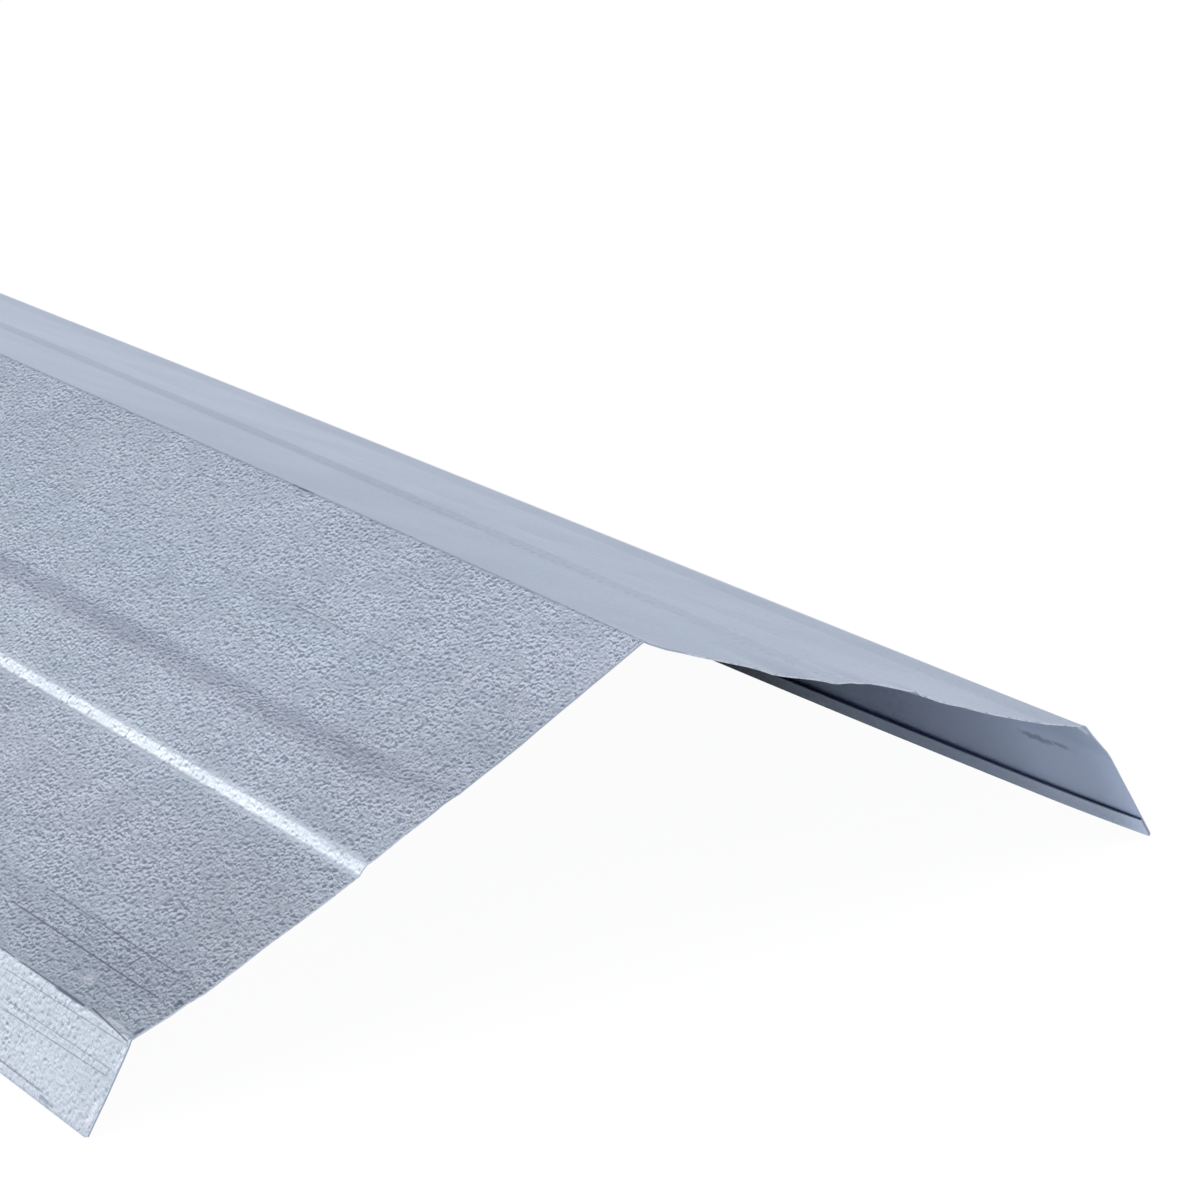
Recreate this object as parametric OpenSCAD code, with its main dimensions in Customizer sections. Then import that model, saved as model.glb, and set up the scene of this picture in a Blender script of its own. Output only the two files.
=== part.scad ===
// Ridge flashing: one length of thin coated steel, folded to cap the ridge of a sheeted roof.
// The section runs from lip to lip across the ridge, and the length runs along X.
// It lies as on a level floor, ridge upwards, on the hemmed edges of both lips.

/* [Sheet] */
// Length of one piece as sold
sheet_length = 2400; // [600:100:6000]
// Thickness of the coated sheet
sheet_t = 0.5; // [0.4:0.1:0.8]
// Inside radius of the crisp folds: ridge, rib's outer side and lips
fold_r = 1.5; // [0.8:0.1:2.5]
// Inside radius of the soft bends: last strip of each wing, and across the right lip
soft_r = 14; // [4:1:20]

/* [Wings] */
// Fall of both wings from the ridge, in degrees
wing_slope = 24.5; // [15:0.5:30]
// How much flatter the wing is beyond the rib, in degrees
outer_relief = 1.5; // [0.5:0.5:3]
// How much flatter again its last strip is, in degrees
eave_relief = 3.5; // [1:0.5:5]
// From the ridge fold to the rib
inner_flat = 71.5; // [60:0.5:110]
// From the rib to the soft bend of the last strip
outer_flat = 52.5; // [40:0.5:80]
// Last strip of the left wing, up to the lip fold
left_eave = 24; // [15:0.5:40]
// Last strip of the right wing, up to the lip fold
right_eave = 16.5; // [12:0.5:40]

/* [Stiffening rib] */
// Height of the raised rib
rib_h = 1.5; // [0.8:0.1:2.5]
// Flat top of the rib
rib_top = 26.5; // [12:0.5:40]
// Run of the rib's soft side, towards the ridge
rib_inner_run = 6; // [5:0.5:12]
// Inside radius of the two bends of the rib's soft side
rib_soft_r = 11; // [4:0.5:11.5]
// Run of the rib's crisp side, towards the lip
rib_outer_run = 3.5; // [3:0.5:6]

/* [Lips] */
// Fall of the left lip, in degrees
left_lip_fall = 55.5; // [45:0.5:75]
// Depth of the left lip along its face
left_lip = 28; // [20:1:60]
// Fall of the right lip's upper strip, in degrees
right_upper_fall = 51; // [40:0.5:55]
// Depth of the right lip's upper strip
right_upper = 16; // [12:0.5:40]
// Fall of the right lip's lower strip, in degrees
right_lower_fall = 61.5; // [56:0.5:75]
// Depth of the right lip's lower strip
right_lower = 37; // [20:1:60]

/* [Hems] */
// Width of the strip that is folded back inside each lip
hem_w = 7.5; // [5:0.5:12]
// Space left inside the folded hem
hem_gap = 0.4; // [0.4:0.1:1.2]

/* [Hidden] */

// Turn of a hem, which lies back flat against its lip
hem_turn = 180;
// Most degrees of turn in one facet of a fold
facet_deg = 12;
// Folds are walked along the middle of the sheet's thickness
mid_fold_r = fold_r + sheet_t / 2;
mid_soft_r = soft_r + sheet_t / 2;
mid_rib_r = rib_soft_r + sheet_t / 2;
mid_hem_r = (hem_gap + sheet_t) / 2;
// Slopes of the rib's two sides, measured from the wing
rib_rise = atan(rib_h / rib_inner_run);
rib_drop = atan(rib_h / rib_outer_run);
outer_slope = wing_slope - outer_relief;
eave_slope = outer_slope - eave_relief;

// A side is a list of strips from the ridge outwards.
// Each is [length between fold lines, fall in degrees, radius of the fold that ends it].
wing = [
    [inner_flat, wing_slope, mid_rib_r],
    [norm([rib_inner_run, rib_h]), wing_slope - rib_rise, mid_rib_r],
    [rib_top, wing_slope, mid_fold_r],
    [norm([rib_outer_run, rib_h]), wing_slope + rib_drop, mid_fold_r],
    [outer_flat, outer_slope, mid_soft_r]
];
left_side = concat(wing, [
    [left_eave, eave_slope, mid_fold_r],
    [left_lip, left_lip_fall, mid_hem_r],
    [hem_w, left_lip_fall + hem_turn, 0]
]);
right_side = concat(wing, [
    [right_eave, eave_slope, mid_fold_r],
    [right_upper, right_upper_fall, mid_soft_r],
    [right_lower, right_lower_fall, mid_hem_r],
    [hem_w, right_lower_fall + hem_turn, 0]
]);

// Directions along a strip that falls by the given angle, and square out of its weather face
function along(fall) = [cos(fall), -sin(fall)];
function outward(fall) = [sin(fall), cos(fall)];

// Turn of the fold that ends strip i: the last strip ends in a cut edge
function turn_after(side, i) = i == len(side) - 1 ? 0 : side[i + 1][1] - side[i][1];

// Length that a fold takes from the strips beside it.
// A hem's strips are measured to the outside of its turn.
function fold_takes(turn, r) =
    turn == hem_turn ? r + sheet_t / 2 : r * tan(abs(turn) / 2);
function takes_after(side, i) = fold_takes(turn_after(side, i), side[i][2]);
function takes_before(side, i) =
    i == 0 ? fold_takes(2 * side[0][1], mid_fold_r) : takes_after(side, i - 1);
function plain_run(side, i) = side[i][0] - takes_before(side, i) - takes_after(side, i);

// Middle of the sheet after it turns through part of a fold that it enters at p
function through_fold(p, fall, turn, r) =
    p + (outward(fall + turn) - outward(fall)) * r * sign(turn);

// Where the plain run of each strip starts and ends, walked outwards from the ridge line
ridge_line = [0, 0];
function run_end(side, i, start) = start + along(side[i][1]) * plain_run(side, i);
function run_starts(side) = [
    for (
        i = 0, p = through_fold(ridge_line, 0, side[0][1], mid_fold_r);
        i < len(side);
        p = through_fold(run_end(side, i, p), side[i][1], turn_after(side, i), side[i][2]),
        i = i + 1
    ) p
];

// A station is [point in the middle of the sheet, fall there].
// A fold's stations stop one facet short of its end, where the next strip's run starts.
function fold_stations(p, fall, turn, r, first) = [
    let (facets = ceil(abs(turn) / facet_deg))
    for (k = [first:1:facets - 1])
        let (part = turn * k / facets)
        [through_fold(p, fall, part, r), fall + part]
];
function side_stations(side) =
    let (starts = run_starts(side))
    concat(
        fold_stations(ridge_line, 0, side[0][1], mid_fold_r, 1),
        [
            for (i = [0:len(side) - 1])
                let (end = run_end(side, i, starts[i]), turn = turn_after(side, i))
                for (station = concat(
                    [[starts[i], side[i][1]]],
                    turn == 0 ? [[end, side[i][1]]] : fold_stations(end, side[i][1], turn, side[i][2], 0)
                )) station
        ]
    );

// The left side is walked like the right one and then mirrored
function mirrored(stations) = [for (s = stations) [[-s[0][0], s[0][1]], -s[1]]];
function reversed(list) = [for (i = [len(list) - 1:-1:0]) list[i]];
stations = concat(
    reversed(mirrored(side_stations(left_side))),
    [[ridge_line, 0]],
    side_stations(right_side)
);

// Weather face and inner face of the sheet, half its thickness to either side of the middle
function face(half_t) = [for (s = stations) s[0] + outward(s[1]) * half_t];
section = concat(face(sheet_t / 2), reversed(face(-sheet_t / 2)));

// Centre of a side's hem turn, which is what that side stands on
function hem_centre(side) =
    let (lip = len(side) - 2)
    run_end(side, lip, run_starts(side)[lip]) - outward(side[lip][1]) * mid_hem_r;
left_foot = mirrored([[hem_centre(left_side), 0]])[0][0];
right_foot = hem_centre(right_side);
// The lips differ in depth, so the section leans until both stand on the floor
lean = atan2(right_foot[1] - left_foot[1], right_foot[0] - left_foot[0]);
foot_r = mid_hem_r + sheet_t / 2;

function leaned(p) = [p[0] * cos(lean) + p[1] * sin(lean), p[1] * cos(lean) - p[0] * sin(lean)];
standing = [for (p = section) leaned(p)];
mid_y = (max([for (p = standing) p[0]]) + min([for (p = standing) p[0]])) / 2;
floor_z = leaned(left_foot)[1] - foot_r;

// The folded sheet, with its origin on the floor, halfway along and midway between the lips' edges
module ridge_flashing() {
    color([0.63, 0.68, 0.74])
        rotate([90, 0, 90])
            linear_extrude(height = sheet_length, center = true)
                translate([-mid_y, -floor_z])
                    polygon(standing);
}

ridge_flashing();
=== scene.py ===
# %% [markdown]
# # A ridge flashing of zinc-coated sheet steel
# A ridge flashing is one long strip of thin steel, folded lengthwise, that caps the ridge of a sheeted roof.
# The imported CAD model is the fixed frame of this scene: it is in metres, +Z is up, and X runs along the ridge.
# It is loaded first, and its box is kept: its two ends in X give the sheet's near and far ends.

# %% Load the imported sheet
from math import cos, pi, radians, sin

import bmesh
import bpy
import numpy as np
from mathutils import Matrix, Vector


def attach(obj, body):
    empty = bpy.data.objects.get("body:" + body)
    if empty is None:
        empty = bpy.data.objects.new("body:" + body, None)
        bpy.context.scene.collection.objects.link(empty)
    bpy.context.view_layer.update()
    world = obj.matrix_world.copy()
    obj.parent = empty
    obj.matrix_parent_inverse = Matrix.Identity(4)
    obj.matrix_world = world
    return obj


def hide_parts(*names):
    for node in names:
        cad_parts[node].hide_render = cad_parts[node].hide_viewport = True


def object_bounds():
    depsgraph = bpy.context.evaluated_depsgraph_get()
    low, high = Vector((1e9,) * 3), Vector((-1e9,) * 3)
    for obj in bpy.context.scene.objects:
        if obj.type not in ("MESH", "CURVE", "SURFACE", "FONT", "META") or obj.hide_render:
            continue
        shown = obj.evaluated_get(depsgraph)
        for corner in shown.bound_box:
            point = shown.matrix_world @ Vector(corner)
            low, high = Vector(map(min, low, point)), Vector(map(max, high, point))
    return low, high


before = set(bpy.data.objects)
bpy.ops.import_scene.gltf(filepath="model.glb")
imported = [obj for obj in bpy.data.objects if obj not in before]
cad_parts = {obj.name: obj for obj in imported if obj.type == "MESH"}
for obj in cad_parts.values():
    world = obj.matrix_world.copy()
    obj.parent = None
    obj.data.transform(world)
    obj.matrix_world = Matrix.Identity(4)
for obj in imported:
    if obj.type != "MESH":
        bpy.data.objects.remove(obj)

cad_low, cad_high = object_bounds()
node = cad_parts["ridge_flashing"]
near_end = cad_high.x
far_end = cad_low.x
MM = 0.001
print("CAD box in mm:", [round(side / MM, 1) for side in cad_high - cad_low])

# %% [markdown]
# The photograph looks down the flashing from beyond its near cut end, a little above it and to its left.
# The camera's place was worked out from the straight fold lines and the cut end, so it is set by numbers here.
# Standard colours are used, without any look on top, so that a material renders about as it is written.

# %% Camera at the photograph's viewing angle
CAMERA_PLACE = (1.98834, -0.58042, 0.41980)
CAMERA_TURN_DEG = (72.574, 0.096, 54.778)
CAMERA_LENS = 110.885
SENSOR = 36.0

bpy.context.scene.view_settings.view_transform = "Standard"
camera_data = bpy.data.cameras.new("camera")
camera_data.lens = CAMERA_LENS
camera_data.sensor_width = SENSOR
camera = bpy.data.objects.new("camera", camera_data)
camera.location = CAMERA_PLACE
camera.rotation_euler = [radians(turn) for turn in CAMERA_TURN_DEG]
bpy.context.scene.collection.objects.link(camera)
bpy.context.scene.camera = camera
print("camera stands", round((Vector(CAMERA_PLACE) - Vector((near_end, 0, 0))).length, 2), "m from the cut end")

# %% [markdown]
# The visual sheet starts as a copy of the CAD node, so that every fold sits where the real one does.
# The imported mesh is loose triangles, so its doubles are merged, and a limited dissolve turns each flat back
# into one face. The copy has its own mesh, because the CAD node itself must stay as it is.

# %% Copy the sheet and clean the copy
def edit(piece):
    """Makes the piece the only selected object and opens it in edit mode."""
    bpy.ops.object.select_all(action="DESELECT")
    bpy.context.view_layer.objects.active = piece
    piece.select_set(True)
    bpy.ops.object.mode_set(mode="EDIT")


def leave_edit():
    bpy.ops.object.mode_set(mode="OBJECT")


sheet = bpy.data.objects.new("folded_sheet", node.data.copy())
bpy.context.scene.collection.objects.link(sheet)
sheet.data.materials.clear()
edit(sheet)
bpy.ops.mesh.customdata_custom_splitnormals_clear()
bpy.ops.mesh.select_all(action="SELECT")
bpy.ops.mesh.remove_doubles(threshold=0.005 * MM)
bpy.ops.mesh.dissolve_limited(angle_limit=radians(0.1))
leave_edit()
print("clean copy:", len(sheet.data.vertices), "points,", len(sheet.data.polygons), "faces")

# %% [markdown]
# The cut end shows the folding plan of the sheet: a closed ring of points, half of them on the weather
# face and half on the inner face. Its four square corners are the two raw edges inside the hems.
# Splitting the ring there gives the line that the weather face follows from hem to hem.

# %% Read the section from the cut end
def turn_at(ring, i):
    before = ring[i] - ring[i - 1]
    after = ring[(i + 1) % len(ring)] - ring[i]
    return before.angle(after)


cut_face = max((p for p in sheet.data.polygons if p.normal.x > 0.9), key=lambda p: len(p.vertices))
ring = [sheet.data.vertices[i].co.yz for i in cut_face.vertices]
corners = [i for i in range(len(ring)) if turn_at(ring, i) > radians(60)]
if corners[1] - corners[0] == 1:
    corners = corners[1:] + corners[:1]
first, second, third, fourth = corners
if fourth < third:
    fourth += len(ring)
runs = [ring[first:second + 1], (ring + ring)[third:fourth + 1]]
weather_line = max(runs, key=lambda run: max(p.y for p in run))
if weather_line[0].x > weather_line[-1].x:
    weather_line = weather_line[::-1]
sheet_t = (ring[second] - ring[third]).length
print(len(weather_line), "points from hem to hem, sheet", round(sheet_t / MM, 3), "mm thick")

# %% [markdown]
# Laid flat again, the sheet is a plain rectangle. The distance across it, measured from the ridge, is
# called the girth: marks that rollers and folding tools leave follow it, whatever way the sheet is folded.
# The long stretches between folds are the strips of the section, and each gets its name here.

# %% Girth and the named strips
steps = [(b - a).length for a, b in zip(weather_line, weather_line[1:])]
walked = np.concatenate([[0.0], np.cumsum(steps)])
ridge_index = max(range(len(weather_line)), key=lambda i: weather_line[i].y)
line_girth = walked - walked[ridge_index]
STRIP_NAMES = [
    "left hem", "left lip", "left last", "left outer",
    "left rib drop", "left rib top", "left rib rise", "left inner",
    "right inner", "right rib rise", "right rib top", "right rib drop",
    "right outer", "right last", "right upper lip", "right lower lip", "right hem",
]
SHORTEST_STRIP = 2.8 * MM
long_steps = [i for i, step in enumerate(steps) if step > SHORTEST_STRIP]
strips = dict(zip(STRIP_NAMES, long_steps))
for name, i in strips.items():
    print(f"{name:16s} girth {line_girth[i] / MM:7.1f} to {line_girth[i + 1] / MM:7.1f} mm")

# %% [markdown]
# Sheet metal is easiest to shape as a single skin that gets its thickness at the end. So only the weather
# face is kept here, and every face of the inner side, the cut ends and the raw edges is deleted.
# The other way, shaping both skins together, can let the thickness drift.

# %% Keep the weather face only
def distance_to_line(point):
    """Distance of a (y, z) point from the weather line."""
    best = 1.0
    for a, b in zip(weather_line, weather_line[1:]):
        along = b - a
        share = min(1.0, max(0.0, (point - a).dot(along) / along.length_squared))
        best = min(best, (point - a - along * share).length)
    return best


def select_faces(piece, wanted):
    """Selects the faces that pass a test, in edit mode, and returns how many."""
    bpy.ops.mesh.select_mode(type="FACE")
    shape = bmesh.from_edit_mesh(piece.data)
    for face in shape.faces:
        face.select_set(wanted(face))
    bmesh.update_edit_mesh(piece.data)
    return sum(face.select for face in shape.faces)


edit(sheet)
spare = select_faces(sheet, lambda f: distance_to_line(f.calc_center_median().yz) > sheet_t / 10)
bpy.ops.mesh.delete(type="FACE")
leave_edit()
print("deleted", spare, "faces, kept", len(sheet.data.polygons))

# %% [markdown]
# A flat that runs into a crisp fold needs a loop close beside it, or smooth shading would make the whole
# flat look round. Each strip is bisected square to itself: a holding loop by each fold, and even loops
# between. The farther off the holding loop, the softer the fold looks. The rib's top rolls over softly
# before it drops, so its loop there stands well back.

# %% Loops along the strips
HOLD = 0.8 * MM
SOFT_HOLD = 2.8 * MM
LOOP_GAP = 5 * MM
NO_LOOPS = {"left rib rise", "right rib rise"}
SOFT_NEIGHBOURS = {
    ("left rib top", "left rib drop"), ("right rib top", "right rib drop"),
    ("left inner", "left rib rise"), ("right inner", "right rib rise"),
}


def loop_places(name):
    """Distances along a strip at which it gets a loop."""
    length = steps[strips[name]]
    if name in NO_LOOPS or length < 3 * HOLD:
        return []
    names = list(strips)
    place = names.index(name)
    before = names[place - 1] if place > 0 else None
    after = names[place + 1] if place + 1 < len(names) else None
    start = SOFT_HOLD if (name, before) in SOFT_NEIGHBOURS else HOLD
    end = length - (SOFT_HOLD if (name, after) in SOFT_NEIGHBOURS else HOLD)
    count = max(1, round((end - start) / LOOP_GAP))
    return [start + (end - start) * k / count for k in range(count + 1)]


edit(sheet)
loops = 0
for name, i in strips.items():
    a, b = weather_line[i], weather_line[i + 1]
    along = (b - a).normalized()
    for distance in loop_places(name):
        on_strip = lambda f: abs((f.calc_center_median().yz - a).cross(along)) < 0.01 * MM and (
            0 < (f.calc_center_median().yz - a).dot(along) < (b - a).length
        )
        select_faces(sheet, on_strip)
        cut = a + along * distance
        bpy.ops.mesh.bisect(plane_co=(0, cut.x, cut.y), plane_no=(0, along.x, along.y))
        loops += 1
leave_edit()
print(loops, "loops along the strips,", len(sheet.data.polygons), "faces")

# %% [markdown]
# Crosswise loops let the sheet bend along its length. They crowd towards the near cut end, where the edge
# is ragged and the corner is bent, are even over the stretch that the photograph shows, and are sparse
# beyond. Bisect makes the crowded ones, and subdivide shares the long edges out evenly.

# %% Loops across the sheet
END_STATIONS = [0.6, 1.4, 2.6, 4.2, 6.2, 8.8, 12, 16, 21, 28]
SHOWN_REACH = 748
SHOWN_CUTS = 71
FAR_CUTS = 28


def subdivide_lengthwise(piece, low, high, cuts):
    """Cuts the edges that run along X between two stations into even parts."""
    bpy.ops.mesh.select_mode(type="EDGE")
    shape = bmesh.from_edit_mesh(piece.data)
    for edge in shape.edges:
        a, b = sorted(v.co.x for v in edge.verts)
        edge.select_set(a > low - MM and b < high + MM and b - a > 10 * MM)
    bmesh.update_edit_mesh(piece.data)
    bpy.ops.mesh.subdivide(number_cuts=cuts)


edit(sheet)
for back in END_STATIONS + [SHOWN_REACH]:
    bpy.ops.mesh.select_mode(type="FACE")
    bpy.ops.mesh.select_all(action="SELECT")
    bpy.ops.mesh.bisect(plane_co=(near_end - back * MM, 0, 0), plane_no=(1, 0, 0))
subdivide_lengthwise(sheet, near_end - SHOWN_REACH * MM, near_end - END_STATIONS[-1] * MM, SHOWN_CUTS)
subdivide_lengthwise(sheet, far_end, near_end - SHOWN_REACH * MM, FAR_CUTS)
leave_edit()
print("skin:", len(sheet.data.vertices), "points,", len(sheet.data.polygons), "faces")

# %% [markdown]
# The flat pattern becomes the UV map: U is the distance along the sheet and V is the girth, both in metres.
# It is stored before any shaping, so grain, roller lines and scratches stay in the metal when it bends.
# Each point's girth is found where it lies on the weather line.

# %% Unrolled UV map
points = np.array([v.co for v in sheet.data.vertices])
line = np.array([tuple(p) for p in weather_line])
segment = line[1:] - line[:-1]
offset = points[:, None, 1:] - line[None, :-1]
share = np.clip((offset * segment).sum(-1) / (segment ** 2).sum(-1), 0, 1)
gap = np.linalg.norm(offset - share[..., None] * segment, axis=-1)
nearest = gap.argmin(1)
every = np.arange(len(points))
girth = line_girth[nearest] + share[every, nearest] * np.array(steps)[nearest]
back = near_end - points[:, 0]

unrolled = sheet.data.uv_layers.new(name="unrolled")
corner_points = np.zeros(len(sheet.data.loops), int)
sheet.data.loops.foreach_get("vertex_index", corner_points)
flat_pattern = np.stack([points[corner_points, 0], girth[corner_points]], 1)
unrolled.data.foreach_set("uv", flat_pattern.astype(np.float32).ravel())
print("flat width", round((girth.max() - girth.min()) / MM, 1), "mm")

# %% [markdown]
# A folded sheet springs open a little where it is cut, because nothing beyond the cut holds the folds.
# Here the ridge sinks by a few millimetres at the near end, fading away along the length. Displace with a
# vertex group does it: the group says how much each point moves, and the modifier moves it.

# %% The cut end springs open
def displace(piece, title, amounts, axis):
    """Moves every point by its own signed amount in metres along one axis."""
    for sign in (1, -1):
        part = np.clip(sign * amounts, 0, None)
        if part.max() < 1e-7:
            continue
        group = piece.vertex_groups.new(name=title)
        for index in np.flatnonzero(part):
            group.add([int(index)], float(part[index] / part.max()), "REPLACE")
        modifier = piece.modifiers.new(title, "DISPLACE")
        modifier.direction = axis
        modifier.mid_level = 0
        modifier.strength = sign * float(part.max())
        modifier.vertex_group = group.name
        bpy.context.view_layer.objects.active = piece
        bpy.ops.object.modifier_apply(modifier=title)
        piece.vertex_groups.remove(piece.vertex_groups[title])


SPRING_DROP = 4.9 * MM
SPRING_REACH = 0.6
lip_fold = abs(line_girth[strips["left lip"]])
ridge_share = np.clip(1 - abs(girth) / lip_fold, 0, 1)
spring = ridge_share * np.clip(1 - back / SPRING_REACH, 0, 1) ** 1.5
displace(sheet, "spring", -SPRING_DROP * spring, "Z")
print("the ridge sinks by", round(SPRING_DROP / MM, 1), "mm at the cut")

# %% [markdown]
# Thin wings are never quite flat: they hold shallow waves that show only as slow changes of tone.
# Each wing gets two long waves of a fraction of a millimetre, none at the folds, which are stiff.
# They only lower the sheet, so that it stays inside the CAD box.

# %% Shallow waves in the wings
WAVE_DEPTH = 0.16 * MM


def between_folds(names):
    """1 in the middle of the stretch from the first strip to the last, 0 at its ends."""
    low = line_girth[strips[names[0]]]
    high = line_girth[strips[names[-1]] + 1]
    share = np.clip((girth - low) / (high - low), 0, 1)
    return np.sin(pi * share)


waves = np.zeros(len(points))
for names, length, start in (
    (["left inner"], 0.31, 0.4), (["left outer", "left last"], 0.23, 1.7),
    (["right inner"], 0.27, 2.9), (["right outer", "right last"], 0.36, 0.9),
):
    low_first = sorted(names, key=lambda n: strips[n])
    slow = np.sin(2 * pi * back / length + start)
    quick = np.sin(2 * pi * back / (0.41 * length))
    ripple = 0.5 + 0.35 * slow + 0.15 * quick
    waves += between_folds(low_first) * ripple
displace(sheet, "waves", -WAVE_DEPTH * waves, "Z")
print("waves lower the wings by up to", round(float(waves.max() * WAVE_DEPTH / MM), 2), "mm")

# %% [markdown]
# The near cut end isn't clean. The left rib is crushed nearly flat where it meets the cut, both wings droop
# and lift a little, and the edge is nicked and curled in a few spots. Three tables say how far the end moves
# at each girth; in between, the moves are read off straight lines. Their values were worked out from how far
# the rendered edge first lay from the photograph's. The cut is also not square: at the ridge and at the left
# corner it stands back by one to two millimetres.

# %% Dents and bends at the near cut end
LIFT_REACH = 45
LIFTS = [
    # girth mm, lift mm
    (-205, 0), (-186, 0.2), (-172, 0.45), (-150, 0.45), (-140, 0.6), (-129, 0.2), (-118, 0), (-107, 0.1),
    (-101, -0.4), (-92, -0.25), (-85, -0.47), (-79, -0.45), (-73, 0.55), (-67, 0.8), (-60, 0.55), (-50, 0.3),
    (-30, 0.3), (0, 0.45), (1.5, -0.1), (5, -0.5), (9, -0.2), (15, -0.4), (43, -0.2), (45.5, -0.4),
    (47, -1.0), (53, -0.8), (61, -0.1), (66, 0.2), (75, -0.1), (80, 0), (86, 0.6), (90, 1.0), (102, 1.0),
    (106.5, 1.8), (110, 2.0), (112.5, 1.4), (117, 0.9), (124, 0.9), (135, 0.2), (150, 0), (210, 0.3),
    (226, 0.7),
]
SET_BACK_REACH = 30
SET_BACKS = [
    # girth mm, set back mm
    (-205, 0), (-194, 0.4), (-189.5, 0.6), (-186.5, 0.7), (-184, 1.4), (-180, 1.2), (-173, 0.4), (-165, 0),
    (-66, 0.1), (-56, 0.3), (-50, 0.4), (-38, 1.1), (-27, 1.4), (0, 2.0), (2.2, 1.8), (3.4, 0.3), (8, 0),
]
SPOTS = {
    # title: (girth mm, reach across mm, reach back mm, lift mm)
    "left_edge_curl": (-168.5, 2.6, 4, 0.7),
    "right_edge_tooth": (41, 1.8, 2.4, -0.5),
    "right_rib_burr": (84, 2.2, 3, 0.5),
    "right_drop_hook": (112, 1.6, 3, -0.5),
    "right_lip_burr": (179, 3, 3, 0.4),
}


def at_girth(table):
    """Reads a table of (girth, move) at every point of the sheet, in mm."""
    return np.interp(girth / MM, [row[0] for row in table], [row[1] for row in table])


def fading(reach_mm):
    """1 at the near cut, falling softly to 0 at the reach."""
    return np.clip(1 - back / MM / reach_mm, 0, 1) ** 1.5


displace(sheet, "lifts", MM * at_girth(LIFTS) * fading(LIFT_REACH), "Z")
displace(sheet, "set_backs", -MM * at_girth(SET_BACKS) * fading(SET_BACK_REACH), "X")
for title, (middle, across, behind, lift) in SPOTS.items():
    sideways = np.clip(1 - ((girth / MM - middle) / across) ** 2, 0, 1) ** 1.5
    displace(sheet, title, lift * MM * sideways * fading(behind), "Z")
print(len(LIFTS), "lifts,", len(SET_BACKS), "set-backs and", len(SPOTS), "spots at the near end")

# %% [markdown]
# Seen through the cut end, the right lip leans in more the farther back it is, as if it had been pushed in.
# So its lower edge is moved inwards along Y, most at a quarter of a metre. Behind that the photograph doesn't
# show it, and it is let come back to the plain section. The right hem reaches the cut and is pressed tight
# there. The left one is hidden in the photograph, so it stops short of the cut, where its end would show.
# The whole cut edge is slightly ragged.

# %% Right lip pushed in, hem ends and ragged edge
PUSH_IN = 4.9 * MM
PUSH_LENGTH = 0.5
HEM_SET_BACK = 2.2 * MM
HEM_PRESS = 0.32 * MM
HEM_TURN = 1.2 * MM
HEM_FADE = 14
RAGGED = 0.16 * MM
RAGGED_FADE = 2.6
# size, rate per mm, shift
RAGGED_WAVES = [(0.2, 1.7, 0.0), (0.18, 0.61, 1.3), (0.12, 3.1, 0.4)]
lip_top = line_girth[strips["right upper lip"]]
lip_edge = line_girth[strips["right lower lip"] + 1]
down_lip = np.clip((girth - lip_top) / (lip_edge - lip_top), 0, 1)
bow = np.sin(pi * np.clip(back / PUSH_LENGTH, 0, 1))
bow = np.where(back > PUSH_LENGTH / 2, bow ** 2, bow)
displace(sheet, "pushed_in", -PUSH_IN * down_lip * bow, "Y")
left_lip_edge = line_girth[strips["left lip"]]
left_hem = np.clip((left_lip_edge - girth) / HEM_TURN, 0, 1)
right_hem = np.clip((girth - lip_edge) / HEM_TURN - 1, 0, 1)
displace(sheet, "left_hem_end", -HEM_SET_BACK * left_hem * fading(HEM_FADE), "X")
displace(sheet, "right_hem_end", HEM_PRESS * right_hem * fading(HEM_FADE), "Y")
along_edge = girth / MM
ragged = 0.5 + sum(size * np.sin(rate * along_edge + shift) for size, rate, shift in RAGGED_WAVES)
displace(sheet, "ragged_edge", -RAGGED * ragged * np.clip(1 - back / MM / RAGGED_FADE, 0, 1), "X")
print("right lip pushed in by up to", round(PUSH_IN / MM, 1), "mm")

# %% [markdown]
# The sheet is 0.5 mm thick. Solidify adds that inwards from the weather face. It gives the raw edges
# around it the second material, which is cut steel and not zinc, and the inner face the third.
# Smooth shading by angle keeps the folds round and the cut edges sharp.

# %% Thickness and shading
CUT_EDGE_SLOT = 1
INNER_SLOT = 2
solid = sheet.modifiers.new("thickness", "SOLIDIFY")
solid.thickness = sheet_t
solid.offset = -1
solid.use_even_offset = True
solid.use_quality_normals = True
solid.material_offset_rim = CUT_EDGE_SLOT
solid.material_offset = INNER_SLOT
for material_name in ("zinc_coated_steel", "cut_steel_edge", "inner_zinc_coat"):
    material = bpy.data.materials.new(material_name)
    material.use_nodes = True
    sheet.data.materials.append(material)
bpy.context.view_layer.objects.active = sheet
bpy.ops.object.modifier_apply(modifier="thickness")
bpy.ops.object.select_all(action="DESELECT")
sheet.select_set(True)
bpy.ops.object.shade_smooth_by_angle(angle=radians(32))
print("sheet:", len(sheet.data.polygons), "faces")

# %% [markdown]
# Materials are built from nodes. A few small helpers keep that short: they add a node and fill its inputs,
# do sums, turn one range into another, start and use node groups, and blend colours.
# A group holds an effect that several materials use, each with its own values.

# %% Helpers for node trees
def fill(tree, socket, value):
    """Links a socket to another socket, or gives it a plain value."""
    if isinstance(value, bpy.types.NodeSocket):
        tree.links.new(value, socket)
    else:
        socket.default_value = value


def add(tree, kind, **inputs):
    """Adds a node. Inputs are given by name, as values or as sockets to link."""
    made = tree.nodes.new(kind)
    for name, value in inputs.items():
        fill(tree, made.inputs[name.replace("_", " ")], value)
    return made


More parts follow.
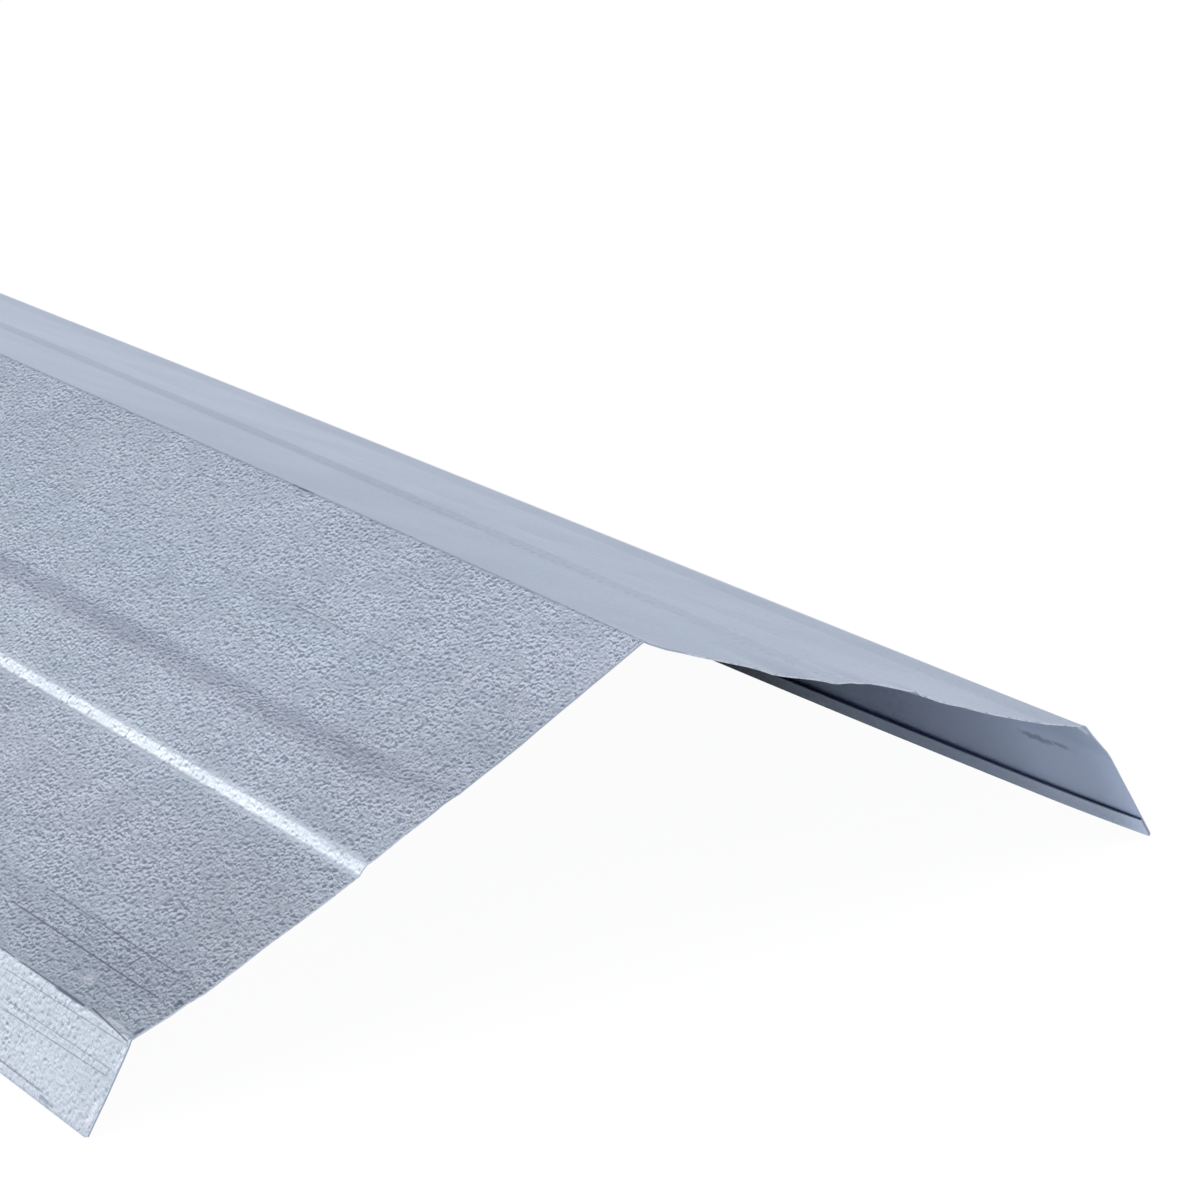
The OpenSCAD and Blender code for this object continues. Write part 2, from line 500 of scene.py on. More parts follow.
def sum_of(tree, operation, *values):
    """Adds a Math node and returns its output."""
    made = tree.nodes.new("ShaderNodeMath")
    made.operation = operation
    for socket, value in zip(made.inputs, values):
        fill(tree, socket, value)
    return made.outputs[0]


def ramp(tree, value, low, high, to_low=0.0, to_high=1.0):
    """Turns the range low to high into to_low to to_high, with soft ends."""
    made = add(tree, "ShaderNodeMapRange", Value=value)
    made.interpolation_type = "SMOOTHSTEP"
    for name, number in (("From Min", low), ("From Max", high), ("To Min", to_low), ("To Max", to_high)):
        fill(tree, made.inputs[name], number)
    return made.outputs["Result"]


def start_group(title, inputs, outputs):
    """Starts a shader node group and returns it with its input and output nodes."""
    tree = bpy.data.node_groups.new(title, "ShaderNodeTree")
    for name, kind in inputs:
        tree.interface.new_socket(name, in_out="INPUT", socket_type=kind)
    for name, kind in outputs:
        tree.interface.new_socket(name, in_out="OUTPUT", socket_type=kind)
    return tree, tree.nodes.new("NodeGroupInput"), tree.nodes.new("NodeGroupOutput")


def group_node(tree, group, **inputs):
    """Adds a node group. Inputs are given by name, as values or as sockets to link."""
    made = tree.nodes.new("ShaderNodeGroup")
    made.node_tree = group
    for name, value in inputs.items():
        fill(tree, made.inputs[name.replace("_", " ")], value)
    return made


def vector_sum(tree, operation, *values):
    """Adds a Vector Math node and returns its output."""
    made = tree.nodes.new("ShaderNodeVectorMath")
    made.operation = operation
    for socket, value in zip(made.inputs, values):
        fill(tree, socket, value)
    return made.outputs[0]


def blend(tree, kind, factor, first, second):
    """Blends two colours, each a value or a socket, and returns the result."""
    made = add(tree, "ShaderNodeMix")
    made.data_type = "RGBA"
    made.blend_type = kind
    for name, value in (("Factor", factor), ("A", first), ("B", second)):
        fill(tree, next(s for s in made.inputs if s.name == name and s.enabled), value)
    return next(s for s in made.outputs if s.enabled)


FLOAT = "NodeSocketFloat"
VECTOR = "NodeSocketVector"

# %% [markdown]
# Zinc freezes on the steel as small crystals, the spangle. On this coating they are about a millimetre
# across and look like a fine pressed relief with scattered darker pits. One group gives the relief: noise
# for the speckle, small Voronoi spots for the pits. A second reads it twice, a short step apart, and paints
# light and shade of the relief into the tone: where the relief falls away it is painted darker and where it
# rises it is painted lighter, as on any fine texture in side light.

# %% Spangle groups
PIT_DEPTH = 0.8
GRAIN_STRETCH = (0.8, 1.08, 1.0)
SIDE_STEP = (-0.5, 0.55, 0.0)
MEAN_HEIGHT = 0.42
HEIGHT_SHARE = 0.62
PAINTED_RELIEF_SHADE_SHARE = 0.40
PATCH_SCALE = 0.09


def make_relief():
    tree, given, result = start_group("spangle_relief", [("Place", VECTOR)], [("Height", FLOAT)])
    place = given.outputs["Place"]
    speckle = add(
        tree, "ShaderNodeTexNoise", Vector=place, Scale=1.0, Detail=3.0, Roughness=0.68, Distortion=0.7
    )
    speckle.noise_dimensions = "2D"
    soft = ramp(tree, speckle.outputs["Fac"], 0.28, 0.66)
    pits = add(tree, "ShaderNodeTexVoronoi", Vector=place, Scale=0.55, Randomness=1.0)
    pits.voronoi_dimensions = "2D"
    split = add(tree, "ShaderNodeSeparateXYZ", Vector=pits.outputs["Color"])
    pit_size = ramp(tree, split.outputs["X"], 0.3, 1.0, 0.05, 0.42)
    in_pit = ramp(tree, sum_of(tree, "DIVIDE", pits.outputs["Distance"], pit_size), 1.0, 0.45)
    height = sum_of(tree, "SUBTRACT", soft, sum_of(tree, "MULTIPLY", in_pit, PIT_DEPTH))
    tree.links.new(height, result.inputs["Height"])
    return tree


def make_spangle(relief):
    tree, given, result = start_group(
        "zinc_spangle_and_painted_relief_shade", [("Flat Pattern", VECTOR), ("Crystal Size", FLOAT)],
        [("Tone", FLOAT), ("Height", FLOAT)],
    )
    crystals = vector_sum(tree, "DIVIDE", GRAIN_STRETCH, given.outputs["Crystal Size"])
    place = vector_sum(tree, "MULTIPLY", given.outputs["Flat Pattern"], crystals)
    here = group_node(tree, relief, Place=place).outputs["Height"]
    aside = group_node(tree, relief, Place=vector_sum(tree, "ADD", place, SIDE_STEP)).outputs["Height"]
    # painted shade and painted highlight of the relief's slope, added to the tone
    painted_relief_shade = sum_of(tree, "MULTIPLY", sum_of(tree, "SUBTRACT", here, aside), PAINTED_RELIEF_SHADE_SHARE)
    level = sum_of(tree, "MULTIPLY", sum_of(tree, "SUBTRACT", here, MEAN_HEIGHT), HEIGHT_SHARE)
    patches = add(tree, "ShaderNodeTexNoise", Vector=place, Scale=PATCH_SCALE, Detail=1.0)
    strength = ramp(tree, patches.outputs["Fac"], 0.35, 0.65, 0.75, 1.25)
    tone = sum_of(tree, "MULTIPLY", sum_of(tree, "ADD", level, painted_relief_shade), strength)
    tree.links.new(tone, result.inputs["Tone"])
    tree.links.new(here, result.inputs["Height"])
    return tree


spangle = make_spangle(make_relief())
print("group", spangle.name, "made")

# %% [markdown]
# The marks are of two kinds: thin lines that run along the sheet, and small smears. Rollers, folding tools
# and handling leave most of them, and some are painted light and shade. Each kind is a group that puts out a
# mask, 1 on the mark and 0 off it, in the flat pattern.
# A line may slant a little, and noise thins it in places, because a real scratch is never even.

# %% Mark groups
def parts_of(tree, given, wobble_scale):
    """Splits the flat pattern into its two distances and adds a slow noise, from about -1 to 1."""
    split = add(tree, "ShaderNodeSeparateXYZ", Vector=given.outputs["Flat Pattern"])
    flat = given.outputs["Flat Pattern"]
    noise = add(tree, "ShaderNodeTexNoise", Vector=flat, Scale=wobble_scale, Detail=2.0)
    noise.noise_dimensions = "2D"
    wobble = sum_of(tree, "MULTIPLY_ADD", noise.outputs["Fac"], 4.0, -2.0)
    return split.outputs["X"], split.outputs["Y"], wobble


def make_line_mark():
    names = ("Girth", "Slant", "Start", "End", "Width")
    tree, given, result = start_group(
        "line_mark", [("Flat Pattern", VECTOR)] + [(name, FLOAT) for name in names], [("Mask", FLOAT)]
    )
    along, across, wobble = parts_of(tree, given, 260.0)
    girth_in, slant, start, end, width = [given.outputs[name] for name in names]
    run = sum_of(tree, "SUBTRACT", along, start)
    middle = sum_of(tree, "MULTIPLY_ADD", run, slant, girth_in)
    off = sum_of(tree, "ABSOLUTE", sum_of(tree, "SUBTRACT", across, middle))
    thin = sum_of(tree, "MULTIPLY_ADD", wobble, 0.22, 1.0)
    reach = sum_of(tree, "MULTIPLY", width, thin)
    on_line = ramp(tree, sum_of(tree, "DIVIDE", off, reach), 1.0, 0.3)
    to_end = sum_of(tree, "MINIMUM", run, sum_of(tree, "SUBTRACT", end, along))
    fade = sum_of(tree, "MULTIPLY", sum_of(tree, "SUBTRACT", end, start), 0.08)
    on_run = ramp(tree, to_end, 0.0, fade)
    tree.links.new(sum_of(tree, "MULTIPLY", on_line, on_run), result.inputs["Mask"])
    return tree


def make_smear():
    names = ("Along", "Girth", "Half Length", "Half Width")
    tree, given, result = start_group(
        "smear", [("Flat Pattern", VECTOR)] + [(name, FLOAT) for name in names], [("Mask", FLOAT)]
    )
    along, across, wobble = parts_of(tree, given, 420.0)
    middle_u, middle_v, half_length, half_width = [given.outputs[name] for name in names]
    u = sum_of(tree, "DIVIDE", sum_of(tree, "SUBTRACT", along, middle_u), half_length)
    v = sum_of(tree, "DIVIDE", sum_of(tree, "SUBTRACT", across, middle_v), half_width)
    radius = sum_of(tree, "SQRT", sum_of(tree, "MULTIPLY_ADD", u, u, sum_of(tree, "MULTIPLY", v, v)))
    ragged_radius = sum_of(tree, "MULTIPLY_ADD", wobble, 0.3, radius)
    tree.links.new(ramp(tree, ragged_radius, 1.0, 0.35), result.inputs["Mask"])
    return tree


line_mark = make_line_mark()
smear = make_smear()
print("groups", line_mark.name, "and", smear.name, "made")

# %% [markdown]
# These are the marks that the photograph shows, by where they lie on the flat pattern in millimetres.
# Dark ones are scuffs and dirt along the folds, and pale ones are scratched-bright zinc, but some marks are
# painted light and shade. The short dark lines along the left lip's fold by the cut are partly scuffs and
# partly painted shade of the fold. Some are there only to match the photograph's tones: the two dark lines
# that run along the whole left rib, at its two sides, which are painted shade, the long pale line along the
# right wing's top fold, which is a painted highlight, and the even ones, painted light, which lighten the soft
# side of the right rib, because this light alone makes it darker than it is in the photograph.

# %% Where the marks are
LINES = [
    # kind, start, end, girth, slant over the run, half width, strength
    ("dark", 1107, 1190, -161.0, 0.4, 0.30, 0.65),
    ("dark", 1103, 1194, -170.5, 0.6, 0.36, 0.85),
    ("dark", 1101, 1111, -167.5, 0.0, 0.25, 0.40),
    ("dark", 1137, 1185, -165.4, -2.4, 0.24, 0.45),
    ("dark", 1162, 1173, -175.2, 0.0, 0.25, 0.40),
    ("dark", 1175, 1187, -155.0, 0.0, 0.25, 0.45),
    ("dark", 900, 960, -40.2, 0.1, 0.26, 0.50),
    ("dark", 966, 1001, -40.1, 0.2, 0.26, 0.45),
    ("dark", 1010, 1034, -40.1, 0.0, 0.26, 0.50),
    ("dark", 1066, 1100, -39.9, -0.2, 0.28, 0.65),
    ("dark", 1109, 1123, -39.6, 0.6, 0.28, 0.65),
    ("dark", 953, 992, -10.9, 0.0, 0.26, 0.50),
    # partly scuffs, partly painted shade of the left lip's fold by the cut
    ("dark", 1122, 1132, -184.0, 0.0, 0.35, 0.7),
    ("dark", 1134, 1173, -184.0, 0.3, 0.42, 0.75),
    ("dark", 1156, 1173, -184.0, 0.1, 0.80, 0.90),
    ("dark", 1174, 1200, -183.0, -2.2, 0.34, 0.95),
    ("dark", 1127, 1200, -188.2, 2.2, 0.26, 0.50),
    ("dark", 1135, 1199, -195.1, 1.5, 0.26, 0.50),
    ("dark", 1136, 1200, -197.6, 1.9, 0.26, 0.55),
    ("dark", 1060, 1178, -209.6, 0.0, 0.40, 0.6),
    # painted shade along both sides of the left rib, its whole length
    ("dark", -1200, 1300, -79.5, 0.0, 3.2, 0.13),
    ("dark", -1200, 1300, -107.9, 0.0, 0.65, 0.42),
    # painted highlight along the right wing's top fold
    ("pale", -1200, 1200, 177.0, 0.0, 4.0, 0.55),
    # painted light: lightens the soft side of the right rib
    ("even", -1200, 1200, 74.8, 0.0, 4.0, 0.42),
]
SMEARS = [
    # kind, middle along, middle girth, half length, half width, strength
    ("pale", 1162, -176.5, 4.0, 2.6, 0.3),
    ("pale", 1189, -182.9, 11.0, 0.8, 0.4),
    ("pale", 1197.6, -207.0, 1.6, 6.0, 0.3),
    ("pale", 1198.9, -189.5, 0.8, 5.0, 0.35),
    ("pale", 1197.5, 180.0, 3.0, 2.4, 0.6),
    ("dark", 1176, -211.0, 6.0, 0.9, 0.5),
    ("dark", 1197.6, -168.5, 1.2, 2.2, 0.8),
    ("dark", 1198.6, -181.0, 1.3, 2.2, 0.85),
    ("dark", 1014, 0.0, 9.0, 0.9, 0.7),
    ("dark", 1164, 199.0, 10.0, 2.0, 0.5),
    ("dark", 1176, 198.2, 6.0, 1.5, 0.45),
    ("dark", 1186, -105.0, 9.0, 1.4, 0.25),
    # painted light: lightens the soft side of the right rib near the cut
    ("even", 1210, 74.8, 420.0, 5.5, 0.72),
]
print(len(LINES), "lines and", len(SMEARS), "smears")

# %% [markdown]
# The finish is read from the flat pattern. Crystals darken and roughen the coating in small specks, with painted
# light and shade of their relief, a slow cloudiness comes from the hot dip, and fine lengthwise streaks from the
# rollers shift its hue a little. The right wing is smoother and lighter than the left, towards the left lip the
# colour is darker, and the inner face is smooth and bluer. The tones that change along the sheet, near the cut
# and deep inside, were set to match the photograph. Of these, the inner face and hems painted darker deep inside
# are painted shade under the sheet, the inner face painted lighter towards the open end is painted light that
# comes in there, and the left rib's bright strip painted lighter towards the cut is a painted highlight; nothing
# else is known of the rest. The marks come last, over everything else.

# %% Zinc coating
COATS = {
    # face: (dark colour, light colour, share of the grain, 1 if it is inside)
    "weather": ((0.241, 0.28, 0.343, 1), (0.815, 0.86, 0.931, 1), 1.0, 0.0),
    "inner": ((0.37, 0.44, 0.63, 1), (0.71, 0.80, 1.0, 1), 0.4, 1.0),
}
HEM_COAT = ((0.62, 0.70, 0.93, 1), (0.80, 0.88, 1.0, 1))
# inner face and hems: painted shade far under the sheet, painted light towards the open end, and a darkening by
# the cut whose cause is not known
DEEP_PAINTED_SHADE = 0.65
MOUTH_PAINTED_LIGHT = 0.3
MOUTH_DARKENING = 0.3
COAT_EDGE_TINT = (0.93, 0.96, 1.0, 1)
COOL = (0.985, 1.0, 1.005, 1)
WARM = (1.01, 0.997, 1.005, 1)
MARK_COLOURS = {
    # even is painted light; pale serves scratches and a painted highlight; dark serves scuffs, dirt and painted
    # shade
    "even": (0.815, 0.86, 0.931, 1), "dark": (0.12, 0.14, 0.19, 1), "pale": (0.92, 0.92, 0.96, 1),
}
CRYSTAL = 1.17 * MM
CLOUD_SCALE = 22.0
CLOUD_TONE = 0.04
STREAK_STRETCH = (0.9, 34.0, 1.0)
LEFT_CONTRAST = 1.02
RIGHT_CONTRAST = 0.14
LIP_CONTRAST = 0.32
STRIP_CONTRAST = 0.4
STRIP = (-108.5, -103.5)
STRIP_EDGE = 1.5
# painted highlight on the left rib's bright strip, stronger towards the cut
STRIP_PAINTED_HIGHLIGHT_FAR = 0.08
STRIP_PAINTED_HIGHLIGHT_NEAR = 0.26
LEFT_RELIEF = 1.0
RIGHT_RELIEF = 0.1
RELIEF = 0.03 * MM
RIDGE = (-2, 2)
LIP_GRAIN_EDGE = (-184, -180)
LIP_TONE_EDGE = (-183, -185)
LIP_DARK_EDGE = (-186, -182)
TOWARDS_LIP = (-60, -180)
LEFT_OF_RIDGE = (-10, -60)
RIGHT_TONE_RUN = (600, 1200)
STRIP_LIFT_RUN = (900, 1200)
CUT_RUN = (1090, 1195)
DEEP_RUN = (985, 1075)
MOUTH_LIFT_RUN = (1075, 1120)
MOUTH_RUN = (1155, 1190)
ROUGHNESS = (0.45, 0.40)
BLACK = (0, 0, 0, 1)
LEFT_TONE = 0.40
LIP_LIFT = 0.11
RIGHT_TONE_FAR = 0.80
RIGHT_TONE_NEAR = 0.57
LIP_DARKENING = 0.12
CUT_DARKENING = 0.11


def mask_of(tree, flat, kind):
    """The strongest of all the marks of one kind, from 0 to 1."""
    total = 0.0
    for mark, start, end, middle, slant, half_width, strength in LINES:
        if mark == kind:
            made = group_node(
                tree, line_mark, Flat_Pattern=flat, Girth=middle * MM, Slant=slant / (end - start),
                Start=start * MM, End=end * MM, Width=half_width * MM,
            )
            total = sum_of(tree, "MAXIMUM", sum_of(tree, "MULTIPLY", made.outputs["Mask"], strength), total)
    for mark, along, middle, half_length, half_width, strength in SMEARS:
        if mark == kind:
            made = group_node(
                tree, smear, Flat_Pattern=flat, Along=along * MM, Girth=middle * MM,
                Half_Length=half_length * MM, Half_Width=half_width * MM,
            )
            total = sum_of(tree, "MAXIMUM", sum_of(tree, "MULTIPLY", made.outputs["Mask"], strength), total)
    return total


def coat_sheet(material, dark_coat, light_coat, grain_share, inside):
    """Builds the coating of one face from its two colours, its share of the grain and 1 if it is inside."""
    tree = material.node_tree
    shader = tree.nodes["Principled BSDF"]
    uv = add(tree, "ShaderNodeUVMap")
    uv.uv_map = "unrolled"
    flat = uv.outputs["UV"]
    split = add(tree, "ShaderNodeSeparateXYZ", Vector=flat)
    along, across = split.outputs["X"], split.outputs["Y"]

    def over(place, span, *change):
        """A ramp over a span that is given in mm."""
        return ramp(tree, place, span[0] * MM, span[1] * MM, *change)

    grain = group_node(tree, spangle, Flat_Pattern=flat, Crystal_Size=CRYSTAL)
    contrast = over(across, RIDGE, LEFT_CONTRAST, RIGHT_CONTRAST)
    contrast = sum_of(tree, "MINIMUM", contrast, over(across, LIP_GRAIN_EDGE, LIP_CONTRAST, LEFT_CONTRAST))
    on_strip = sum_of(
        tree, "MULTIPLY", over(across, (STRIP[0] - STRIP_EDGE, STRIP[0])),
        over(across, (STRIP[1] + STRIP_EDGE, STRIP[1])),
    )
    strip_share = ramp(tree, on_strip, 0.0, 1.0, 1.0, STRIP_CONTRAST)
    contrast = sum_of(tree, "MULTIPLY", sum_of(tree, "MULTIPLY", contrast, strip_share), grain_share)
    clouds = add(tree, "ShaderNodeTexNoise", Vector=flat, Scale=CLOUD_SCALE, Detail=2.0)
    cloud = ramp(tree, clouds.outputs["Fac"], 0.3, 0.7, -CLOUD_TONE, CLOUD_TONE)
    tone = sum_of(tree, "MULTIPLY_ADD", grain.outputs["Tone"], contrast, cloud)
    right_tone = over(along, RIGHT_TONE_RUN, RIGHT_TONE_FAR, RIGHT_TONE_NEAR)
    tone = sum_of(tree, "ADD", tone, over(across, RIDGE, LEFT_TONE, right_tone))
    # painted highlight: the left rib's bright strip is made lighter, more towards the cut
    strip_painted_highlight = over(along, STRIP_LIFT_RUN, STRIP_PAINTED_HIGHLIGHT_FAR, STRIP_PAINTED_HIGHLIGHT_NEAR)
    tone = sum_of(tree, "MULTIPLY_ADD", on_strip, strip_painted_highlight, tone)
    # painted light on the inner face towards the open end
    tone = sum_of(tree, "ADD", tone, over(along, MOUTH_LIFT_RUN, 0.0, MOUTH_PAINTED_LIGHT * inside))
    tone = sum_of(tree, "ADD", tone, over(across, LIP_TONE_EDGE, 0.0, LIP_LIFT))
    in_hem = sum_of(
        tree, "MAXIMUM", ramp(tree, across, lip_edge, lip_edge + HEM_TURN),
        ramp(tree, across, left_lip_edge, left_lip_edge - HEM_TURN),
    )
    dark_coat = blend(tree, "MIX", in_hem, dark_coat, HEM_COAT[0])
    light_coat = blend(tree, "MIX", in_hem, light_coat, HEM_COAT[1])
    colour = blend(tree, "MIX", tone, dark_coat, light_coat)
    stretched = vector_sum(tree, "MULTIPLY", flat, STREAK_STRETCH)
    streaks = add(tree, "ShaderNodeTexNoise", Vector=stretched, Scale=1.0, Detail=1.0)
    hue = blend(tree, "MIX", ramp(tree, streaks.outputs["Fac"], 0.35, 0.65), COOL, WARM)
    colour = blend(tree, "MULTIPLY", 1.0, colour, hue)
    # darker on the left wing by the cut and towards the left lip, cause not known; the painted shade of the
    # inner face is added to this below
    by_cut = sum_of(tree, "MULTIPLY", over(along, CUT_RUN), over(across, LEFT_OF_RIDGE, 0.0, CUT_DARKENING))
    by_cut = sum_of(tree, "MULTIPLY", by_cut, ramp(tree, on_strip, 0.0, 1.0, 1.0, 0.0))
    darkening_and_painted_shade = sum_of(
        tree, "MULTIPLY_ADD", by_cut, over(across, LIP_DARK_EDGE), over(across, TOWARDS_LIP, 0.0, LIP_DARKENING)
    )
    # painted shade on the inner face and hems far under the sheet; by the cut they are also darkened, cause not
    # known
    deep = sum_of(
        tree, "MAXIMUM", over(along, DEEP_RUN, DEEP_PAINTED_SHADE, 0.0), over(along, MOUTH_RUN, 0.0, MOUTH_DARKENING)
    )
    inner_share = sum_of(tree, "MAXIMUM", in_hem, inside)
    darkening_and_painted_shade = sum_of(tree, "MAXIMUM", darkening_and_painted_shade, sum_of(tree, "MULTIPLY", deep, inner_share))
    colour = blend(tree, "MIX", darkening_and_painted_shade, colour, BLACK)
    # the marks include painted light, painted shade and a painted highlight, as the tables say
    for kind, mark_colour in MARK_COLOURS.items():
        colour = blend(tree, "MIX", mask_of(tree, flat, kind), colour, mark_colour)
    tree.links.new(colour, shader.inputs["Base Color"])
    rough = ramp(tree, grain.outputs["Tone"], -0.5, 0.5, *ROUGHNESS)
    tree.links.new(rough, shader.inputs["Roughness"])
    shader.inputs["Metallic"].default_value = 1.0
    shader.inputs["Specular Tint"].default_value = COAT_EDGE_TINT
    relief = over(across, RIDGE, LEFT_RELIEF * grain_share, RIGHT_RELIEF * grain_share)
    bump = add(tree, "ShaderNodeBump", Height=grain.outputs["Height"], Strength=relief, Distance=RELIEF)
    tree.links.new(bump.outputs["Normal"], shader.inputs["Normal"])


coat_sheet(sheet.data.materials[0], *COATS["weather"])
coat_sheet(sheet.data.materials[INNER_SLOT], *COATS["inner"])

# %% [markdown]
# Where the sheet was cut, the edge is bare steel. By the ridge and on the lips it is darker, and along the
# outer wings it is brighter, so the edge's colour follows the girth, broken up by noise.

# %% Cut edge
EDGE_DARK = (0.38, 0.41, 0.49, 1)
EDGE_BRIGHT = (0.58, 0.60, 0.66, 1)
BRIGHT_LEFT = (-184, -84)
BRIGHT_RIGHT = (14, 176)
BRIGHT_FADE = 2
EDGE_GRAIN_SCALE = 500.0


def bare_edge(material):
    """Builds the bare steel of the cut edge, bright where the girth is in one of the two bright ranges."""
    tree = material.node_tree
    shader = tree.nodes["Principled BSDF"]
    uv = add(tree, "ShaderNodeUVMap")
    uv.uv_map = "unrolled"
    across = add(tree, "ShaderNodeSeparateXYZ", Vector=uv.outputs["UV"]).outputs["Y"]
    bright = 0.0
    for low, high in (BRIGHT_LEFT, BRIGHT_RIGHT):
        from_low = ramp(tree, across, (low - BRIGHT_FADE) * MM, (low + BRIGHT_FADE) * MM)
        to_high = ramp(tree, across, (high + BRIGHT_FADE) * MM, (high - BRIGHT_FADE) * MM)
        bright = sum_of(tree, "MAXIMUM", sum_of(tree, "MULTIPLY", from_low, to_high), bright)
    place = add(tree, "ShaderNodeTexCoord")
    grain = add(tree, "ShaderNodeTexNoise", Vector=place.outputs["Object"], Scale=EDGE_GRAIN_SCALE, Detail=2.0)
    broken = ramp(tree, grain.outputs["Fac"], 0.3, 0.55)
    colour = blend(tree, "MIX", sum_of(tree, "MULTIPLY", bright, broken), EDGE_DARK, EDGE_BRIGHT)
    tree.links.new(colour, shader.inputs["Base Color"])
    shader.inputs["Metallic"].default_value = 1.0
    shader.inputs["Roughness"].default_value = 0.4


bare_edge(sheet.data.materials[CUT_EDGE_SLOT])

# %% [markdown]
# The photograph stands on pure white, so the floor is plain and pale. It stays an ordinary lit surface,
# lightened for what the eye sees, so that only a faint soft shadow is left. What the metal mirrors is
# dimmed under the sheet by ambient occlusion, which keeps the inside of the lips dark towards the back, and
# is slightly blue, as the photograph's inner face is.

# %% Floor
FLOOR_HALF = 120.0
FLOOR_COLOUR = (0.97, 0.97, 0.97, 1)
MIRRORED_COLOUR = (0.90, 0.945, 1.0, 1)
SEEN_WHITE = 0.96
SHADE_REACH = 0.3
SHADE_LOW = 0.03
SHADE_GAIN = 5.2

bpy.ops.mesh.primitive_grid_add(x_subdivisions=2, y_subdivisions=2, size=2 * FLOOR_HALF, location=(0, 0, 0))
floor = bpy.context.object
floor.name = "floor"
floor_material = bpy.data.materials.new("pale_floor")
floor_material.use_nodes = True
floor.data.materials.append(floor_material)


def lay_floor(material):
    """Builds the floor: an ordinary lit surface, mixed with an even white for what is seen or mirrored."""
    tree = material.node_tree
    lit = tree.nodes["Principled BSDF"]
    lit.inputs["Base Color"].default_value = FLOOR_COLOUR
    lit.inputs["Roughness"].default_value = 1.0
    lit.inputs["Specular IOR Level"].default_value = 0.0
    open_sky = add(tree, "ShaderNodeAmbientOcclusion", Distance=SHADE_REACH)
    open_sky.samples = 8
    above_low = sum_of(tree, "SUBTRACT", open_sky.outputs["AO"], SHADE_LOW)
    mirrored = sum_of(tree, "MAXIMUM", sum_of(tree, "MULTIPLY", above_low, SHADE_GAIN), 0.0)
    mirrored = sum_of(tree, "MINIMUM", mirrored, 1.0)
    ray = add(tree, "ShaderNodeLightPath")
    level = sum_of(tree, "MAXIMUM", mirrored, ray.outputs["Is Camera Ray"])
    tint = blend(tree, "MIX", ray.outputs["Is Camera Ray"], MIRRORED_COLOUR, (1, 1, 1, 1))
    white = add(tree, "ShaderNodeEmission", Color=tint, Strength=level)
    seen = sum_of(tree, "MAXIMUM", ray.outputs["Is Camera Ray"], ray.outputs["Is Glossy Ray"])
    seen = sum_of(tree, "MAXIMUM", seen, ray.outputs["Is Transmission Ray"])
    mix = add(tree, "ShaderNodeMixShader", Fac=sum_of(tree, "MULTIPLY", seen, SEEN_WHITE))
    tree.links.new(lit.outputs[0], mix.inputs[1])
    tree.links.new(white.outputs[0], mix.inputs[2])
    tree.links.new(mix.outputs[0], tree.nodes["Material Output"].inputs["Surface"])


lay_floor(floor_material)

# %% [markdown]
# Metal shows what stands around it. The room is an even pale grey with one darker corner behind the
# sheet, which the rib's inner side mirrors. A broad soft lamp hangs above, and a large soft box stands to
# the left, where it lights the lip and the rib's edge. The eye itself sees plain white behind the floor.

# %% World and lamps
HORIZON = (0.84, 0.88, 0.957, 1)
CEILING = (0.83, 0.86, 0.92, 1)
DARK_CORNER = (151, 30)
DARK_CORNER_EDGE = 0.74
DARK_CORNER_DEPTH = 0.76
DARK_CORNER_COLOUR = (0.03, 0.06, 0.11, 1)


def direction(azimuth, elevation):
    """Unit vector towards a place in the room, with azimuth from +X towards +Y, in degrees."""
    a, e = radians(azimuth), radians(elevation)
    return Vector((cos(a) * cos(e), sin(a) * cos(e), sin(e)))


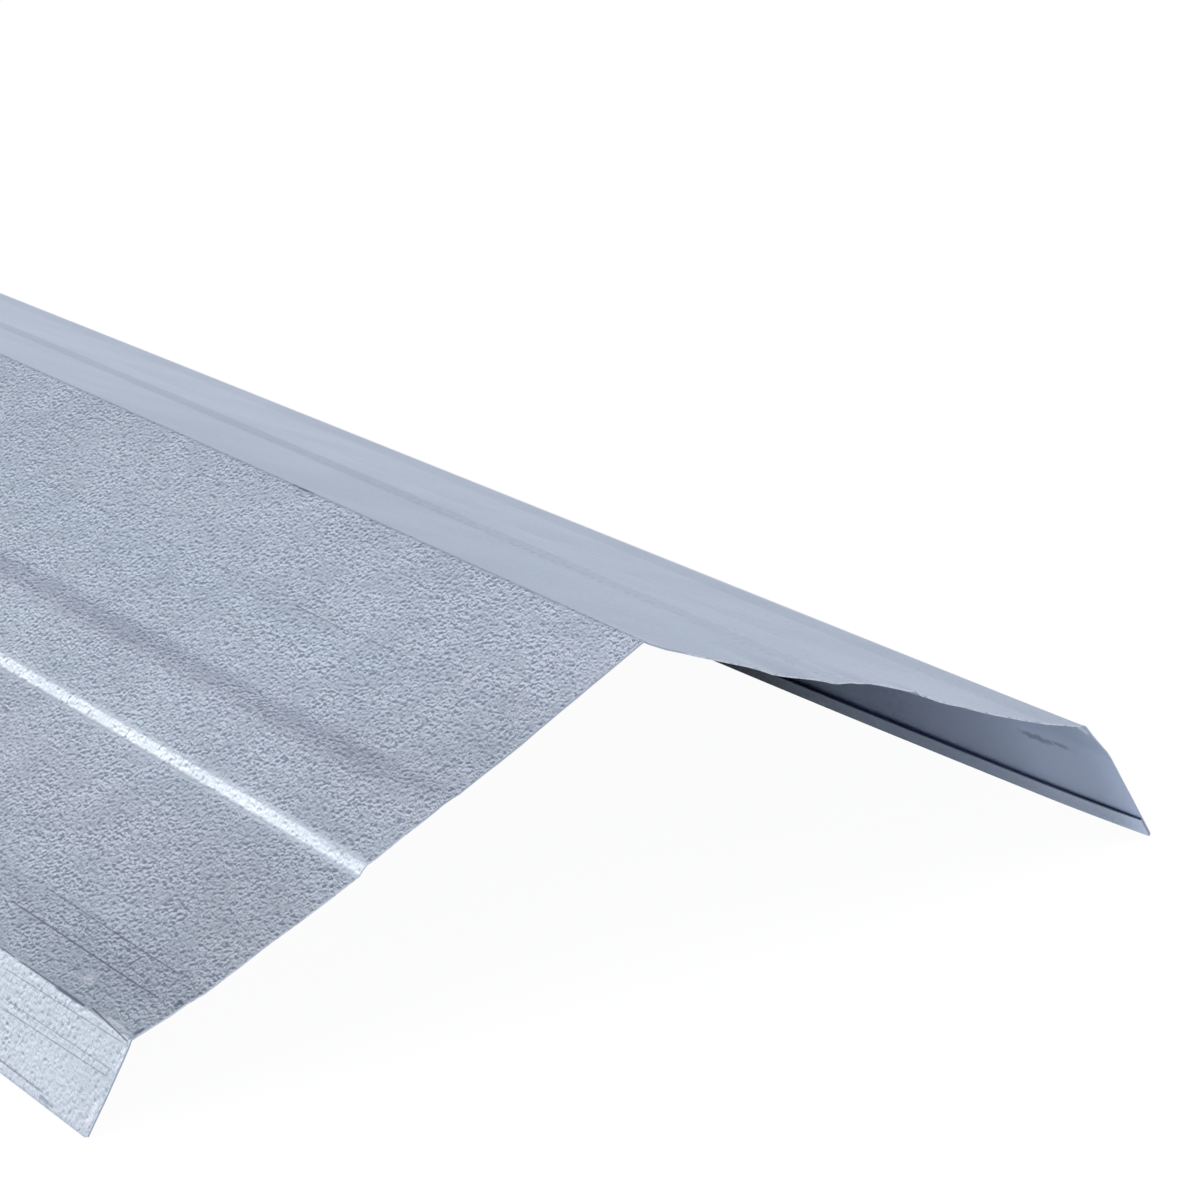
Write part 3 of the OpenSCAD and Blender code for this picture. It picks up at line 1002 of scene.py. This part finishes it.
world = bpy.data.worlds.new("room")
bpy.context.scene.world = world
world.use_nodes = True
room = world.node_tree
sight = add(room, "ShaderNodeTexCoord").outputs["Generated"]
height = add(room, "ShaderNodeSeparateXYZ", Vector=sight).outputs["Z"]
wall = blend(room, "MIX", ramp(room, height, 0.187, 0.45), HORIZON, CEILING)
towards_corner = add(room, "ShaderNodeVectorMath")
towards_corner.operation = "DOT_PRODUCT"
room.links.new(sight, towards_corner.inputs[0])
towards_corner.inputs[1].default_value = direction(*DARK_CORNER)
corner_shade = ramp(room, towards_corner.outputs["Value"], DARK_CORNER_EDGE, 1.0, 0.0, DARK_CORNER_DEPTH)
wall = blend(room, "MIX", corner_shade, wall, DARK_CORNER_COLOUR)
to_eye = add(room, "ShaderNodeLightPath").outputs["Is Camera Ray"]
wall = blend(room, "MIX", to_eye, wall, (1, 1, 1, 1))
room.links.new(wall, room.nodes["Background"].inputs["Color"])


def soft_box(name, azimuth, elevation, distance, size, radiance, colour):
    """A square area lamp that faces the middle of the floor, with its brightness as seen."""
    data = bpy.data.lights.new(name, "AREA")
    data.shape = "SQUARE"
    data.size = size
    data.color = colour
    data.energy = radiance * pi * size ** 2
    lamp = bpy.data.objects.new(name, data)
    towards = direction(azimuth, elevation)
    lamp.location = towards * distance
    lamp.rotation_euler = towards.to_track_quat("Z", "Y").to_euler()
    lamp.visible_camera = False
    bpy.context.scene.collection.objects.link(lamp)
    return lamp


def broad_sun(name, azimuth, elevation, spread_deg, radiance):
    """A far round lamp of a wide angle, with its brightness as seen."""
    data = bpy.data.lights.new(name, "SUN")
    data.angle = radians(spread_deg)
    data.energy = radiance * pi * sin(radians(spread_deg / 2)) ** 2
    lamp = bpy.data.objects.new(name, data)
    lamp.rotation_euler = direction(azimuth, elevation).to_track_quat("Z", "Y").to_euler()
    bpy.context.scene.collection.objects.link(lamp)
    return lamp


soft_box("left_soft_box", 203.0, 17.5, 8.0, 4.5, 1.47, (1.0, 0.965, 0.85))
broad_sun("overhead", 90, 86, 60, 2.58)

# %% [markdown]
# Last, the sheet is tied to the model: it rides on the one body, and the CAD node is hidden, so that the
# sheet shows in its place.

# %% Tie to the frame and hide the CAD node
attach(sheet, "root")
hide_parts("ridge_flashing")
